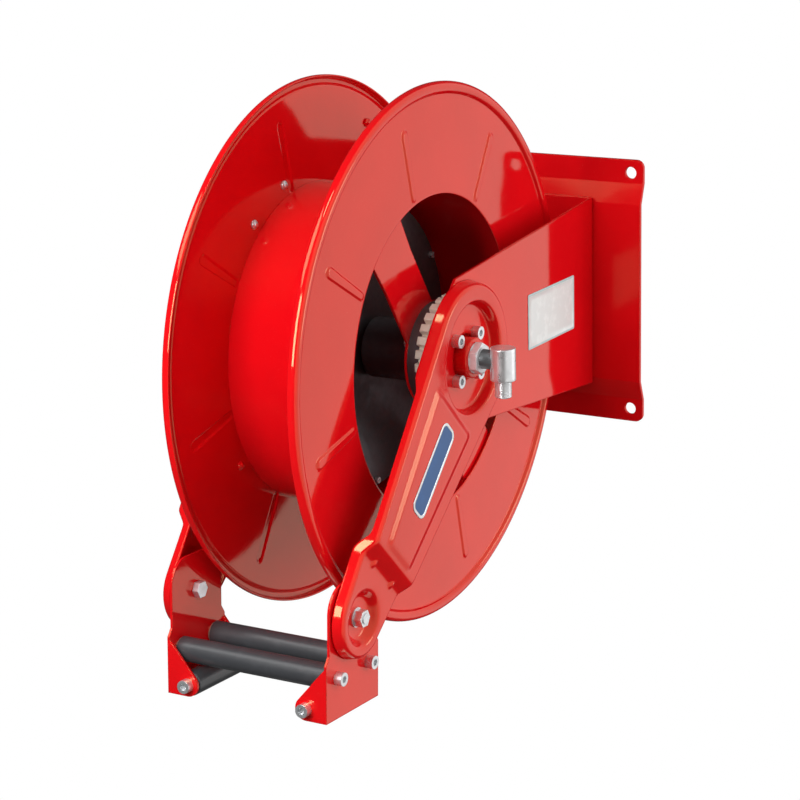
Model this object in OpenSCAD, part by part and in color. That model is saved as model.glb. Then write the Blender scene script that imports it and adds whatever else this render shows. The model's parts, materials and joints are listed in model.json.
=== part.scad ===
// Spring-rewind wall hose reel: a drum between two arms, with a roller guide below it.
// X runs along the reel axis towards the inlet, +Y points into the wall, +Z is up.
// The origin is the centre of the wall plate's back face.

/* [Layout] */
// Distance between the wall and the drum's flanges
wall_room = 45; // [40:1:60]
// Height of the wall plate's centre above the reel axis
hub_drop = 4.5; // [0:0.5:8]
// Distance between the guide plates' outer faces
guide_span = 177; // [174:1:180]
// Distance between the inner faces of the two frame sides
arm_gap = 191; // [188:0.5:200]
// Thickness of the frame's sheet steel
frame_t = 3; // [2.5:0.5:4]
// General clearance between pieces that move past each other
gap = 0.3; // [0.3:0.05:0.5]
// Radial clearance of a shaft that turns in a hole
run_fit = 0.05; // [0.02:0.01:0.1]
// Radial clearance of a bolt in a plain hole
bolt_fit = 0.4; // [0.2:0.1:0.6]

/* [Drum] */
// Outer radius of the two side flanges
flange_r = 265; // [255:1:265]
// Thickness of a flange's sheet
flange_t = 2; // [1.5:0.5:2.5]
// Radius of a flange's centre opening
opening_r = 156.5; // [150:0.5:158]
// Distance of the drum shell's outside from the edge of a flange opening
shell_lip = 4.5; // [4.5:0.5:8]
// Wall of the drum shell
shell_t = 2; // [1.5:0.5:2.5]
// Inside width between the flanges
drum_w = 135; // [134:1:136]
// Radius of a flange's rolled rim
rim_r = 6; // [5:0.5:7]
// Number of pressed ribs on a flange
rib_count = 8; // [6:1:12]
// Height of a pressed rib
rib_h = 1.5; // [1:0.25:1.5]
// Width of a pressed rib at its outer end
rib_w = 11; // [8:1:14]
// Length of a pressed rib
rib_len = 72; // [40:1:75]
// Angle of the first rib above the wall side, deg
rib_turn = 13.5; // [0:0.5:45]
// Width of a cross bar in the middle
bar_w = 58; // [56:1:66]
// Width of a cross bar where it meets the shell
bar_end_w = 65; // [60:1:80]
// Thickness of a cross bar
bar_t = 3; // [2:0.5:4]
// Length of a cross bar's wider ends
bar_taper = 45; // [35:1:60]
// Angle of the cross bars, from the wall side upwards
bar_angle = 124; // [90:1:170]

/* [Hub] */
// Radius of the fixed axle
axle_r = 15; // [15:0.5:16]
// Wall of the bronze bearing bushes
bearing_t = 5; // [4:0.5:6]
// Radius of a hub's flange
hub_flange_r = 52; // [51:0.5:54]
// Thickness of a hub's flange
hub_flange_t = 13; // [13:0.5:14]
// Radius of the axle's fixing flanges
axle_flange_r = 34; // [33:0.5:35]
// Radius of the axle's collar outside the frame
collar_r = 20; // [19.5:0.5:21]
// Half the spacing of the four arm screws
screw_half = 20; // [20:0.5:21]
// Radius of the water bore
water_r = 6; // [5:0.5:6.5]

/* [Ratchet] */
// Number of ratchet teeth
teeth = 28; // [24:4:32]
// Radius over the ratchet teeth
ratchet_r = 60; // [60:0.5:62]
// Depth of a ratchet tooth
tooth_depth = 7; // [5:0.5:7]
// Thickness of the ratchet wheel
ratchet_w = 10; // [8:0.5:10]
// Thickness of the pawl
pawl_w = 8; // [6:0.5:8]
// Distance of the pawl's pin outside the ratchet teeth
pawl_room = 8.5; // [8.5:0.5:9.5]

/* [Mainspring] */
// Distance between the spring case and the inside of the drum shell
case_room = 14; // [10:1:50]
// Width of the spring case
case_w = 58; // [54:1:60]
// Wall of the spring case
case_t = 2; // [1.5:0.5:2]
// Width of the spring strip
strip_w = 40; // [34:1:40]
// Thickness of the spring strip
strip_t = 1.5; // [1:0.1:2]
// Turns of the spring strip
strip_turns = 9; // [6:1:12]

/* [Outlet arms] */
// Distance from the reel axis to the guide's pivot
arm_len = 287; // [284:0.5:300]
// Slope of the arms below the horizontal
arm_slope = 45.1; // [40:0.1:50]
// Radius of an arm's round hub end
disc_r = 75; // [74:0.5:80]
// Radius of an arm's pivot end
pad_r = 40.5; // [38:0.5:42]
// Thickness of an arm's sheet
arm_t = 2.5; // [2:0.25:3]
// Depth of an arm's pressing at the hub
arm_h = 13.5; // [13:0.5:15]
// Depth of the folded rim along the arm
arm_rim = 8; // [6:0.5:9]
// Step that brings the pivot end inwards
joggle = 11; // [9:0.5:12]
// Radius of the round recess at the hub
recess_r = 55; // [52:0.5:56]
// Radius of the round recess at the pivot
pivot_recess_r = 26; // [24:0.5:28]
// Height of the raised panel along the arm
panel_h = 2; // [1:0.25:3]

/* [Roller guide] */
// Radius of the pivot bolts
pivot_r = 5; // [4:0.5:6]
// Thickness of a guide plate
guide_t = 2.5; // [2:0.25:3]
// Half the width of a guide plate
guide_half = 47; // [46:0.25:52]
// Distance from the pivot down to a guide plate's bottom edge
guide_drop = 91.5; // [90:0.5:96]
// Distance from the pivot down to the top of the end tabs
tab_drop = 36; // [34:0.5:40]
// Lean of the guide, with its wall side lower
guide_lean = 3; // [0:0.5:6]
// Outer radius of a guide roller
roller_r = 12; // [11:0.25:12.5]
// Radius of a roller's shaft
shaft_r = 6.5; // [6:0.25:6.5]
// Half the spacing of the two long rollers
roller_half = 28.1; // [27:0.1:31]
// Distance from the pivot down to the long rollers
roller_drop = 51.7; // [50:0.1:55]
// Distance from the reel's middle plane to a short roller
side_roller_x = 66; // [62:0.5:68]
// Radius of a tab's rounded corner
tab_r = 11.5; // [10:0.5:12]

/* [Inlet] */
// Radius of the inlet nut's round shank
nut_r = 15; // [14:0.25:15.5]
// Size of the inlet nut's hexagon across its flats
nut_flats = 28; // [26:0.5:30]
// Distance that the nut stands out of the collar
nut_out = 8.5; // [6:0.5:10]
// Radius of the elbow's spigot
spigot_r = 9.6; // [9:0.1:10]
// Visible length of the spigot
spigot_out = 5.5; // [4:0.5:8]
// Radius of the elbow's body
elbow_r = 12.5; // [11:0.25:13]
// Height of the elbow's body above the reel axis
elbow_up = 13.5; // [12:0.5:15]
// Depth of the elbow's body below the reel axis
elbow_down = 19; // [17:0.5:22]
// Outside radius of the inlet and outlet threads
thread_r = 8.33; // [8:0.01:8.6]
// Length of the inlet thread
thread_len = 16; // [12:0.5:20]
// Length of the outlet thread outside the drum shell
tail_out = 22; // [20:1:28]

/* [Wall plate] */
// Width of the wall plate
plate_w = 305; // [300:1:330]
// Height of the wall plate
plate_h = 286; // [280:1:310]
// Thickness of the wall plate
plate_t = 4; // [3:0.5:5]
// Height of the raised face in the middle
raise = 8; // [7:0.5:14]
// Height of the flat edge above and below the raised face
edge_h = 25; // [22:0.5:30]
// Width of the slope beside the raised face
slope_w = 21.5; // [16:0.5:24]
// Distance of a wall hole from the plate's side edge
hole_side = 14.5; // [12:0.5:18]
// Distance of a wall hole from the plate's top or bottom edge
hole_end = 14; // [12:0.5:16]
// Radius of a wall hole
wall_hole_r = 6.5; // [5:0.25:7]
// Radius of the plate's corners
plate_corner = 8.5; // [6:0.5:14]
// Upright spacing of the bolts between the plate and the frame
frame_bolt_dz = 124; // [110:1:140]
// Distance of these bolts inwards from a flange
frame_bolt_in = 22; // [20:1:30]

/* [Signs] */
// Length of the blank badge on the arm
badge_len = 97; // [80:1:100]
// Width of the blank badge
badge_w = 28; // [20:1:30]
// Length of the blank label on the frame
label_len = 107; // [90:1:115]
// Height of the blank label
label_h = 58; // [50:1:65]
// Thickness of the badge and the label
sign_t = 0.6; // [0.4:0.1:1]
// Distance of the badge's centre from the reel axis
badge_at = 126.5; // [110:0.5:140]
// Distance of the label's centre from the reel axis
label_at = 195; // [180:1:210]
// Height of the label's centre above the reel axis
label_up = 2.5; // [0:0.5:10]

/* [Hidden] */
$fn = 96;
cut = 1; // how far a cutting shape runs past the faces it cuts
sunk = 0.03; // how far a straight side lies inside the round that it joins

// Places that follow from the sizes above
hub_reach = flange_r + wall_room;
shell_r = opening_r + shell_lip;
case_r = shell_r - shell_t - case_room;
pawl_reach = ratchet_r + pawl_room;
wall_dx = plate_w - 2 * hole_side;
wall_dz = plate_h - 2 * hole_end;
raised_half = plate_h / 2 - edge_h - slope_w;

// Stations along the reel axis, on the inlet side
web_in = drum_w / 2;
web_out = web_in + flange_t;
side_in = arm_gap / 2;
side_out = side_in + frame_t;
arm_face = side_out + arm_h;
pad_face = arm_face - joggle;
floor_out = side_out + arm_t;
bar_out = web_in - 1.5;
bar_in = bar_out - bar_t;
hub_face = bar_out + hub_flange_t;
ratchet_out = hub_face + ratchet_w;
axle_flange_in = hub_face + 2.5;
collar_out = arm_face + 1;
nut_in = collar_out - 10;
nut_face = collar_out + nut_out;
elbow_in = nut_face + spigot_out;
elbow_x = elbow_in + elbow_r + 3.5;

// The hub's barrel and the parts inside it
bush_r = axle_r + bearing_t;
barrel_r = bush_r + 10;
barrel_in = 2;
seal_w = 8;
seal_room = 13; // distance of a seal from the middle of the water port
port_x = 33;
pipe_r = thread_r + 1.2;
hub_screw_r = 3;
hub_thread = 8; // length of a screw's thread in a hub
screw_tip = 1; // room under the end of a screw
bearing_len = 22;
arm_screw_r = 4;
arm_screw_len = 18;
hub_screw_ring = 41;
hub_screw_angles = [-30, 0, 30, 150, 180, 210];
ratchet_bore_r = axle_flange_r + 4;
ratchet_screw_r = 2.5;
ratchet_screw_ring = 46;
ratchet_screw_first = 15;
clamp_hole_r = 3.5;
clamp_out = 13; // the inner clamp holes lie this far outside the drum shell
clamp_in = 34; // the outer clamp hole lies this far inside the flange's edge
collar_room = 3; // width of the open ring round the axle's collar
cover_screw_r = 2;
cover_boss_r = 5;
cover_boss_len = 14;
circlip_t = 1.75;
circlip_r = axle_r + 3;
bar_tab = 22; // depth of the tabs at a cross bar's ends
groove_r = axle_r - 1;

// The inlet's swivel: the elbow's collar turns in a chamber in the axle's end
chamber_r = spigot_r + 3;
chamber_in = nut_in - 11;
swivel_collar_t = 4;

// The mainspring's case lies against the inside of the far cross bar
case_out = -bar_in;
case_in = case_out + case_w;
spigot_end = bar_in - case_t - 1;
strip_x0 = case_in - 7 - strip_w;
arbor_r = axle_r + 5;

// Ratchet and pawl: a tooth gap lies at gap_angle, and the pin stands back from it
tooth_pitch = 360 / teeth;
root_r = ratchet_r - tooth_depth;
gap_angle = (floor(62 / tooth_pitch) + 0.5) * tooth_pitch;
pawl_in_r = ratchet_r + 1.5;
pawl_out_r = pawl_in_r + 10;
pawl_angle = gap_angle - 28;
pawl_lift = 12.5;
tooth_tip = 3.6; // half the width of a tooth at its tip
tooth_side = 4.3; // the same below the tip's chamfer
tooth_root = 4.6; // the same at its root
pawl_pin_r = 4;
pawl_boss_r = 6;
pawl_x = hub_face + (ratchet_w - pawl_w) / 2;
pawl_pin_at = [0, pawl_reach * cos(pawl_angle), pawl_reach * sin(pawl_angle)];
spring_wire_r = 0.8;

// The guide hangs from the arms' lower ends
guide_out = guide_span / 2;
guide_in = guide_out - guide_t;
friction_t = 0.9; // thickness of the washers between the guide and the arms
friction_r = 20;
pad_floor_in = guide_out + gap + friction_t;
pad_floor_out = pad_floor_in + arm_t;
pad_rim_x = pad_floor_in + 0.4;
pivot_y = -arm_len * cos(arm_slope) - hub_reach;
pivot_z = -arm_len * sin(arm_slope) - hub_drop;
pivot_head_t = 6.4;
pivot_flats = 15;
pivot_nut_t = 8.4;
bolt_end = 1; // length of a pivot bolt outside its nut
washer_t = 1.6;
washer_r = 9.5;
shaft_screw_r = 4;
roller_bore_r = shaft_r + 3;
bush_flange_r = roller_r - 1.5;
bush_flange_t = 1.5;
bush_len = 12;
shaft_thread = 10; // length of a screw's thread in a shaft
tab_in = guide_half - guide_t;
side_roller_z = tab_r - guide_drop;
guide_top = 36.5; // distance from the pivot up to a guide plate's top edge
shoulder_half = 41.5; // half the width of a guide plate above its tabs
shoulder_r = 26; // radius of its two upper corners
flare_h = 8; // height over which the plate widens to its tabs
roller_chamfer = 0.8;

// The arm's step and raised panel, measured from the reel axis
joggle_start = arm_len - 59;
joggle_end = arm_len - 47;
panel_start = recess_r + 5;
panel_end = joggle_start - 4;
panel_start_half = 46;
panel_end_half = 28;
panel_step = 7;

// Frame sides: tall at the wall, lower at the hub, cut back at the front corners
panel_back = -plate_t - raise;
side_hub_half = 74.5;
side_wall_half = 102;
side_front = 60;
side_corner = 10;
side_bend = 4;
frame_bolt_r = 4;
frame_bolt_flats = 13;
frame_head_t = 5;
frame_nut_t = 8;
frame_washer_r = 8.5;
frame_washer_t = 1.6;

// ---------- helpers ----------

// Extrudes a shape drawn in Y and Z along X, from x0
module yz(x0, t) {
    translate([x0, 0, 0]) rotate([90, 0, 90]) linear_extrude(t) children();
}

// Turns a profile of [radius, x] points about the X axis
module turned(points) {
    rotate([90, 0, 90]) rotate_extrude() polygon(points);
}

// A disc about the X axis
module x_disc(x0, x1, r) {
    translate([x0, 0, 0]) rotate([0, 90, 0]) cylinder(r = r, h = x1 - x0);
}

// A ring about the X axis
module x_ring(x0, x1, r_out, r_in) {
    difference() {
        x_disc(x0, x1, r_out);
        x_disc(x0 - cut, x1 + cut, r_in);
    }
}

// A round hole through everything between x0 and x1
module x_hole(x0, x1, r) {
    x_disc(x0 - cut, x1 + cut, r);
}

// A hexagon about the X axis, sized across its flats
module x_hex(x0, x1, flats) {
    yz(x0, x1 - x0) circle(flats / sqrt(3), $fn = 6);
}

// A socket-head screw: the head starts at x = 0 and the shank runs to -length
module socket_screw(r, length) {
    difference() {
        union() {
            x_disc(-length, cut, r);
            x_disc(0, 2 * r, 1.62 * r);
        }
        x_hex(r, 2 * r + cut, 1.5 * r);
    }
}

module at_hub() {
    translate([0, -hub_reach, -hub_drop]) children();
}

module at_guide() {
    translate([0, pivot_y, pivot_z]) rotate([-guide_lean, 0, 0]) children();
}

// Turns local +Y so that it points from the reel axis down the outlet arms
module along_arm() {
    at_hub() rotate([180 + arm_slope, 0, 0]) children();
}

// Draws its children on both sides of the middle plane
module both_sides() {
    children();
    mirror([1, 0, 0]) children();
}

module at_arm_screws() {
    for (y = [-1, 1] * screw_half, z = [-1, 1] * screw_half) {
        translate([0, y, z]) children();
    }
}

module at_frame_bolts() {
    side = web_in - frame_bolt_in;
    for (x = [-side, side], z = [-1, 1] * frame_bolt_dz / 2) {
        translate([x, 0, z]) children();
    }
}

module at_hub_screws() {
    for (a = hub_screw_angles) {
        rotate([bar_angle + a, 0, 0]) translate([0, hub_screw_ring, 0]) children();
    }
}

module at_ratchet_screws() {
    for (a = [0:60:300]) {
        rotate([bar_angle + ratchet_screw_first + a, 0, 0])
            translate([0, ratchet_screw_ring, 0]) children();
    }
}

// The outline round two circles, the second one at x = length. Its straight sides lie sunk
// inside the circles, so that they cross them instead of only touching them.
module link_outline(r1, r2, length) {
    lean = acos((r1 - r2) / length);
    a = r1 - sunk;
    b = r2 - sunk;
    circle(r1);
    translate([length, 0]) circle(r2);
    polygon([
        [a * cos(lean), a * sin(lean)], [length + b * cos(lean), b * sin(lean)],
        [length + b * cos(lean), -b * sin(lean)], [a * cos(lean), -a * sin(lean)],
    ]);
}

module rounded_plate(w, h, r) {
    square([w - 2 * r, h], center = true);
    square([w, h - 2 * r], center = true);
    for (x = [-1, 1] * (w / 2 - r), z = [-1, 1] * (h / 2 - r)) {
        translate([x, z]) circle(r);
    }
}

// ---------- frame ----------

module wall_plate() {
    half = plate_h / 2;
    slope_out = raised_half + slope_w;
    color("firebrick") difference() {
        intersection() {
            yz(-plate_w / 2, plate_w) polygon([
                [0, -half], [-plate_t, -half],
                [-plate_t, -slope_out], [panel_back, -raised_half],
                [panel_back, raised_half], [-plate_t, slope_out],
                [-plate_t, half], [0, half],
                [0, slope_out], [-raise, raised_half],
                [-raise, -raised_half], [0, -slope_out],
            ]);
            translate([0, cut, 0]) rotate([90, 0, 0])
                linear_extrude(plate_t + raise + 2 * cut)
                rounded_plate(plate_w, plate_h, plate_corner);
        }
        for (x = [-1, 1] * wall_dx / 2, z = [-1, 1] * wall_dz / 2) {
            translate([x, cut, z]) rotate([90, 0, 0])
                cylinder(r = wall_hole_r, h = plate_t + 2 * cut);
        }
        at_frame_bolts() rotate([90, 0, 0]) translate([0, 0, raise - cut])
            cylinder(r = frame_bolt_r + bolt_fit, h = plate_t + 2 * cut);
    }
}

// A rectangle from y0 to y1 whose two corners at y1 are round
module bent_outline(half, y0, y1, r) {
    translate([-half, y0]) square([2 * half, y1 - r - y0]);
    translate([r - half, y1 - r - cut]) square([2 * (half - r), r + cut]);
    for (x = [r - half, half - r]) {
        translate([x, y1 - r]) circle(r);
    }
}

// One bent sheet: a back panel on the wall plate's raised face and two side arms
module arm_frame() {
    front = -hub_reach - side_front;
    corner = -hub_reach - side_corner;
    front_half = side_hub_half - side_front + side_corner;
    color("firebrick") difference() {
        intersection() {
            translate([0, 0, -side_wall_half]) linear_extrude(2 * side_wall_half) difference() {
                bent_outline(side_out, front, panel_back, side_bend);
                bent_outline(side_in, front - cut, panel_back - frame_t, side_bend - frame_t);
            }
            yz(-side_out - cut, 2 * (side_out + cut)) polygon([
                [panel_back + cut, side_wall_half], [panel_back + cut, -side_wall_half],
                [corner, -side_hub_half], [front, -front_half],
                [front, front_half], [corner, side_hub_half],
            ]);
        }
        at_hub() both_sides() {
            x_hole(side_in, side_out, collar_r + collar_room);
            at_arm_screws() x_hole(side_in, side_out, arm_screw_r + bolt_fit);
        }
        at_hub() translate(pawl_pin_at) x_hole(side_in, side_out, pawl_pin_r + run_fit);
        at_frame_bolts() rotate([90, 0, 0]) translate([0, 0, -panel_back - cut])
            cylinder(r = frame_bolt_r + bolt_fit, h = frame_t + 2 * cut);
    }
}

// Hexagon bolts whose heads lie in the hollow behind the raised face
module frame_bolts() {
    color("silver") at_frame_bolts() rotate([90, 0, 0]) {
        translate([0, 0, raise - frame_head_t])
            cylinder(r = frame_bolt_flats / sqrt(3), h = frame_head_t, $fn = 6);
        translate([0, 0, raise - cut])
            cylinder(r = frame_bolt_r, h = plate_t + frame_t + frame_nut_t + 4);
    }
}

module frame_nuts() {
    color("silver") at_frame_bolts() rotate([90, 0, 0])
        translate([0, 0, frame_t - panel_back]) difference() {
            union() {
                cylinder(r = frame_washer_r, h = frame_washer_t);
                cylinder(r = frame_bolt_flats / sqrt(3), h = frame_nut_t, $fn = 6);
            }
            translate([0, 0, -cut])
                cylinder(r = frame_bolt_r + run_fit, h = frame_nut_t + 2 * cut);
        }
}

// ---------- outlet arms ----------

// The arm's closed outer form; with an inset it is the hollow inside the pressing
module arm_form(inset) {
    open = inset > 0 ? 30 : 0;
    length = arm_len + pad_r + cut;
    intersection() {
        yz(side_out - 40, 80) link_outline(disc_r - inset, pad_r - inset, arm_len);
        translate([0, 0, -disc_r - cut]) linear_extrude(2 * (disc_r + cut)) polygon([
            [side_out - open, -disc_r - cut], [arm_face - inset, -disc_r - cut],
            [arm_face - inset, joggle_start - inset / 2],
            [pad_face - inset, joggle_end - inset / 2],
            [pad_face - inset, length], [pad_rim_x - open, length],
            [pad_rim_x - open, joggle_end - 4], [arm_face - arm_rim - open, joggle_start - 6],
            [arm_face - arm_rim - open, disc_r + 6], [side_out - open, disc_r - 9],
        ]);
    }
}

// One sloping side of the raised panel: everything on the inner side of its edge
module panel_side(side, base, top, slant) {
    taper = atan((panel_start_half - panel_end_half) / (panel_end - panel_start));
    translate([0, panel_start, side * panel_start_half]) rotate([-side * taper, 0, 0])
        translate([0, 2 * disc_r, 0]) rotate([90, 0, 0]) linear_extrude(4 * disc_r) polygon([
            [base, side * (slant - panel_step)], [base, -side * 2 * disc_r],
            [top, -side * 2 * disc_r], [top, -side * panel_step],
        ]);
}

// The raised panel down the middle of the arm: four sloping sides and a flat top
module arm_panel() {
    base = arm_face - arm_t - cut;
    top = arm_face + panel_h;
    slant = panel_step * (top - base) / panel_h;
    intersection() {
        translate([0, 0, -disc_r]) linear_extrude(2 * disc_r) polygon([
            [base, panel_start - slant + panel_step], [base, panel_end + slant - panel_step],
            [top, panel_end - panel_step], [top, panel_start + panel_step],
        ]);
        panel_side(-1, base, top, slant);
        panel_side(1, base, top, slant);
    }
}

// A pressed cup round a hole: its floor lies inside the arm, its wall widens by the given
// amount and its lip is flush with the face
module recess(hole_r, lip_r, widening, floor_in, face) {
    foot_r = lip_r - widening;
    turned([
        [hole_r, floor_in], [foot_r + arm_t, floor_in], [lip_r + arm_t, face - arm_t / 2],
        [lip_r + arm_t, face], [lip_r, face], [foot_r, floor_in + arm_t],
        [hole_r, floor_in + arm_t],
    ]);
}

module outlet_arm() {
    color("firebrick") along_arm() difference() {
        union() {
            difference() {
                union() {
                    arm_form(0);
                    arm_panel();
                }
                arm_form(arm_t);
                translate([-arm_t, 0, 0]) arm_panel();
                x_hole(arm_face - arm_t, arm_face + panel_h, recess_r + arm_t / 2);
                translate([0, arm_len, 0])
                    x_hole(pad_face - arm_t, pad_face, pivot_recess_r + arm_t / 2);
            }
            recess(collar_r + collar_room, recess_r, 3, side_out, arm_face);
            translate([0, arm_len, 0])
                recess(pivot_r + bolt_fit, pivot_recess_r, 6, pad_floor_in, pad_face);
        }
        rotate([-180 - arm_slope, 0, 0]) at_arm_screws()
            x_hole(side_out, floor_out, arm_screw_r + bolt_fit);
    }
}

module right_outlet_arm() {
    outlet_arm();
}

module left_outlet_arm() {
    mirror([1, 0, 0]) outlet_arm();
}

module arm_screws() {
    color("silver") at_hub() at_arm_screws() translate([floor_out, 0, 0])
        socket_screw(arm_screw_r, arm_screw_len);
}

module right_arm_screws() {
    arm_screws();
}

module left_arm_screws() {
    mirror([1, 0, 0]) arm_screws();
}

// ---------- axle and inlet ----------

// Fixed axle: fixing flange, collar outside the frame, and a shaft with the water bore
module axle() {
    color("firebrick") at_hub() difference() {
        turned([
            [0, -side_out - 2], [groove_r, -side_out - 2], [axle_r, -side_out - 1],
            [axle_r, -side_in - circlip_t - 0.1], [groove_r, -side_in - circlip_t - 0.1],
            [groove_r, -side_in], [axle_r, -side_in], [axle_r, hub_face + gap],
            [axle_r + 3, hub_face + gap], [axle_r + 3, axle_flange_in],
            [axle_flange_r, axle_flange_in], [axle_flange_r, side_in],
            [collar_r, side_in], [collar_r, collar_out - 1], [collar_r - 1, collar_out],
            [nut_r + run_fit, collar_out], [nut_r + run_fit, nut_in],
            [chamber_r + run_fit, nut_in], [chamber_r + run_fit, chamber_in],
            [water_r, chamber_in], [water_r, port_x - water_r], [0, port_x - water_r],
        ]);
        at_arm_screws() x_hole(axle_flange_in, side_in, arm_screw_r + run_fit);
        for (a = [0, 90]) {
            rotate([a, 0, 0]) translate([port_x, 0, -axle_r - cut])
                cylinder(r = water_r - 1, h = 2 * (axle_r + cut));
        }
    }
}

// Flange that holds the axle's far end
module axle_end_flange() {
    color("silver") at_hub() mirror([1, 0, 0]) difference() {
        turned([
            [axle_r + run_fit, hub_face + gap], [axle_r + 3, hub_face + gap],
            [axle_r + 3, axle_flange_in], [axle_flange_r, axle_flange_in],
            [axle_flange_r, side_in], [axle_r + run_fit, side_in],
        ]);
        at_arm_screws() x_hole(axle_flange_in, side_in, arm_screw_r + run_fit);
    }
}

module axle_circlip() {
    color("dimgray") at_hub() difference() {
        x_ring(-side_in - circlip_t, -side_in, circlip_r, groove_r + run_fit);
        translate([-side_in - circlip_t - cut, -3, -axle_r - 5])
            cube([circlip_t + 2 * cut, 6, 8]);
    }
}

// Sleeve on the axle that holds the mainspring's inner end
module spring_arbor() {
    color("silver") at_hub() difference() {
        x_ring(gap - spigot_end, case_in - gap, arbor_r, axle_r + run_fit);
        translate([strip_x0 - cut, arbor_r - 2, -3]) cube([strip_w + 2 * cut, 5, 3]);
    }
}

module swivel_nut() {
    corner_r = nut_flats / sqrt(3);
    color("gainsboro") at_hub() difference() {
        union() {
            x_disc(nut_in, collar_out + 2 * gap, nut_r);
            intersection() {
                rotate([30, 0, 0]) x_hex(collar_out + gap, nut_face, nut_flats);
                turned([
                    [0, collar_out], [corner_r + cut, collar_out], [corner_r + cut, nut_face - 1.5],
                    [nut_flats / 2 - 0.5, nut_face], [0, nut_face],
                ]);
            }
        }
        x_hole(nut_in, nut_face, spigot_r + run_fit);
    }
}

module swivel_seal() {
    color("black") at_hub() x_ring(chamber_in, nut_in - swivel_collar_t - 2 * gap, chamber_r, spigot_r);
}

// Elbow that turns in the axle's end and points down to the supply hose
module inlet_elbow() {
    thread_end = elbow_down + thread_len;
    color("gainsboro") at_hub() difference() {
        union() {
            x_disc(chamber_in + cut, elbow_in + cut, spigot_r - run_fit);
            x_disc(nut_in + gap, elbow_in + cut, spigot_r);
            x_disc(nut_in - gap - swivel_collar_t, nut_in - gap, chamber_r - gap);
            x_disc(elbow_in, elbow_x, elbow_r);
            translate([elbow_x, 0, 0]) rotate_extrude() polygon([
                [0, -thread_end - 1], [thread_r - 1, -thread_end - 1],
                [thread_r, -thread_end], [thread_r, -elbow_down],
                [elbow_r, -elbow_down], [elbow_r, elbow_up - 1.5],
                [elbow_r - 1.5, elbow_up], [0, elbow_up],
            ]);
        }
        x_disc(chamber_in, elbow_x, water_r);
        translate([elbow_x, 0, -thread_end - 1 - cut])
            cylinder(r = water_r, h = thread_end + 1 + cut);
    }
}

// ---------- drum ----------

// Shape of one rib, drawn outwards along X from its inner end
module rib_outline(inset) {
    outer = rib_w / 2 - inset;
    inner = rib_w / 3 - inset;
    translate([shell_r + rib_w / 2, 0]) link_outline(inner, outer, rib_len - rib_w);
}

module at_ribs() {
    for (k = [0:rib_count - 1]) {
        rotate([rib_turn + k * 360 / rib_count, 0, 0]) children();
    }
}

// Flat ring with a rolled rim and pressed ribs
module side_flange() {
    mid = flange_r - rim_r;
    rim_x = web_out - rim_r / 2;
    thin = rim_r - flange_t;
    first = asin((web_in - rim_x) / thin);
    profile = concat(
        [[opening_r, web_in], [mid - thin * cos(first), web_in]],
        [for (a = [30:15:210]) [mid - thin * cos(a), rim_x + thin * sin(a)]],
        [for (a = [210:-15:30]) [mid - rim_r * cos(a), rim_x + rim_r * sin(a)]],
        [[opening_r, web_out]]
    );
    color("firebrick") at_hub() difference() {
        union() {
            turned(profile);
            at_ribs() yz(web_in, flange_t + rib_h) rib_outline(0);
        }
        at_ribs() yz(web_in - cut, rib_h + cut) rib_outline(1);
    }
}

module right_flange() {
    side_flange();
}

// The far flange also has small holes for the hose clamp
module left_flange() {
    mirror([1, 0, 0]) difference() {
        side_flange();
        at_hub() {
            for (a = [107.5, 128, 212]) {
                rotate([a, 0, 0]) translate([0, shell_r + clamp_out, 0])
                    x_hole(web_in, web_out, clamp_hole_r);
            }
            rotate([62, 0, 0]) translate([0, flange_r - clamp_in, 0])
                x_hole(web_in, web_out, clamp_hole_r);
        }
    }
}

// Cylinder that the hose lies on, with a hole for the hose pipe
module drum_shell() {
    color("firebrick") at_hub() difference() {
        x_ring(-web_in, web_in, shell_r, shell_r - shell_t);
        translate([port_x, shell_r - 10, 0]) rotate([-90, 0, 0])
            cylinder(r = pipe_r + run_fit, h = 20);
    }
}

// Bar across the drum's opening, with a round middle behind the hub's flange and end tabs
// that follow the shell
module cross_bar() {
    end_r = shell_r - shell_t;
    waist = end_r - bar_taper;
    tab_half = asin((bar_end_w / 2) / end_r);
    color("firebrick") at_hub() rotate([bar_angle, 0, 0]) difference() {
        union() {
            intersection() {
                x_disc(bar_in, bar_out, end_r);
                yz(bar_in - cut, bar_t + 2 * cut) polygon([
                    [-end_r, -bar_end_w / 2], [-waist, -bar_w / 2],
                    [waist, -bar_w / 2], [end_r, -bar_end_w / 2],
                    [end_r, bar_end_w / 2], [waist, bar_w / 2],
                    [-waist, bar_w / 2], [-end_r, bar_end_w / 2],
                ]);
            }
            x_disc(bar_in, bar_out, hub_flange_r);
            intersection() {
                x_ring(bar_in - bar_tab, bar_out, end_r, end_r - bar_t);
                yz(bar_in - bar_tab - cut, bar_tab + bar_t + 2 * cut)
                    square([3 * end_r, 2 * end_r * sin(tab_half)], center = true);
            }
        }
        x_hole(bar_in, bar_out, barrel_r + gap);
        rotate([-bar_angle, 0, 0]) at_hub_screws()
            x_hole(bar_in, bar_out, hub_screw_r + bolt_fit);
    }
}

module right_cross_bar() {
    cross_bar();
}

module left_cross_bar() {
    mirror([1, 0, 0]) cross_bar();
}

// A hub: a flange outside the cross bar and a barrel through it, reaching in to x_end
module hub_body(x_end) {
    difference() {
        turned([
            [bush_r, x_end], [barrel_r, x_end], [barrel_r, bar_out],
            [hub_flange_r, bar_out], [hub_flange_r, hub_face], [bush_r, hub_face],
        ]);
        at_hub_screws()
            x_disc(bar_out - cut, bar_out + hub_thread + screw_tip, hub_screw_r + run_fit);
    }
}

module drum_hub() {
    color("dimgray") at_hub() difference() {
        hub_body(barrel_in);
        at_ratchet_screws()
            x_disc(hub_face - hub_thread - screw_tip, hub_face + cut, ratchet_screw_r + run_fit);
        translate([port_x, bush_r - 5, 0]) rotate([-90, 0, 0])
            cylinder(r = pipe_r + run_fit, h = 30);
    }
}

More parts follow.
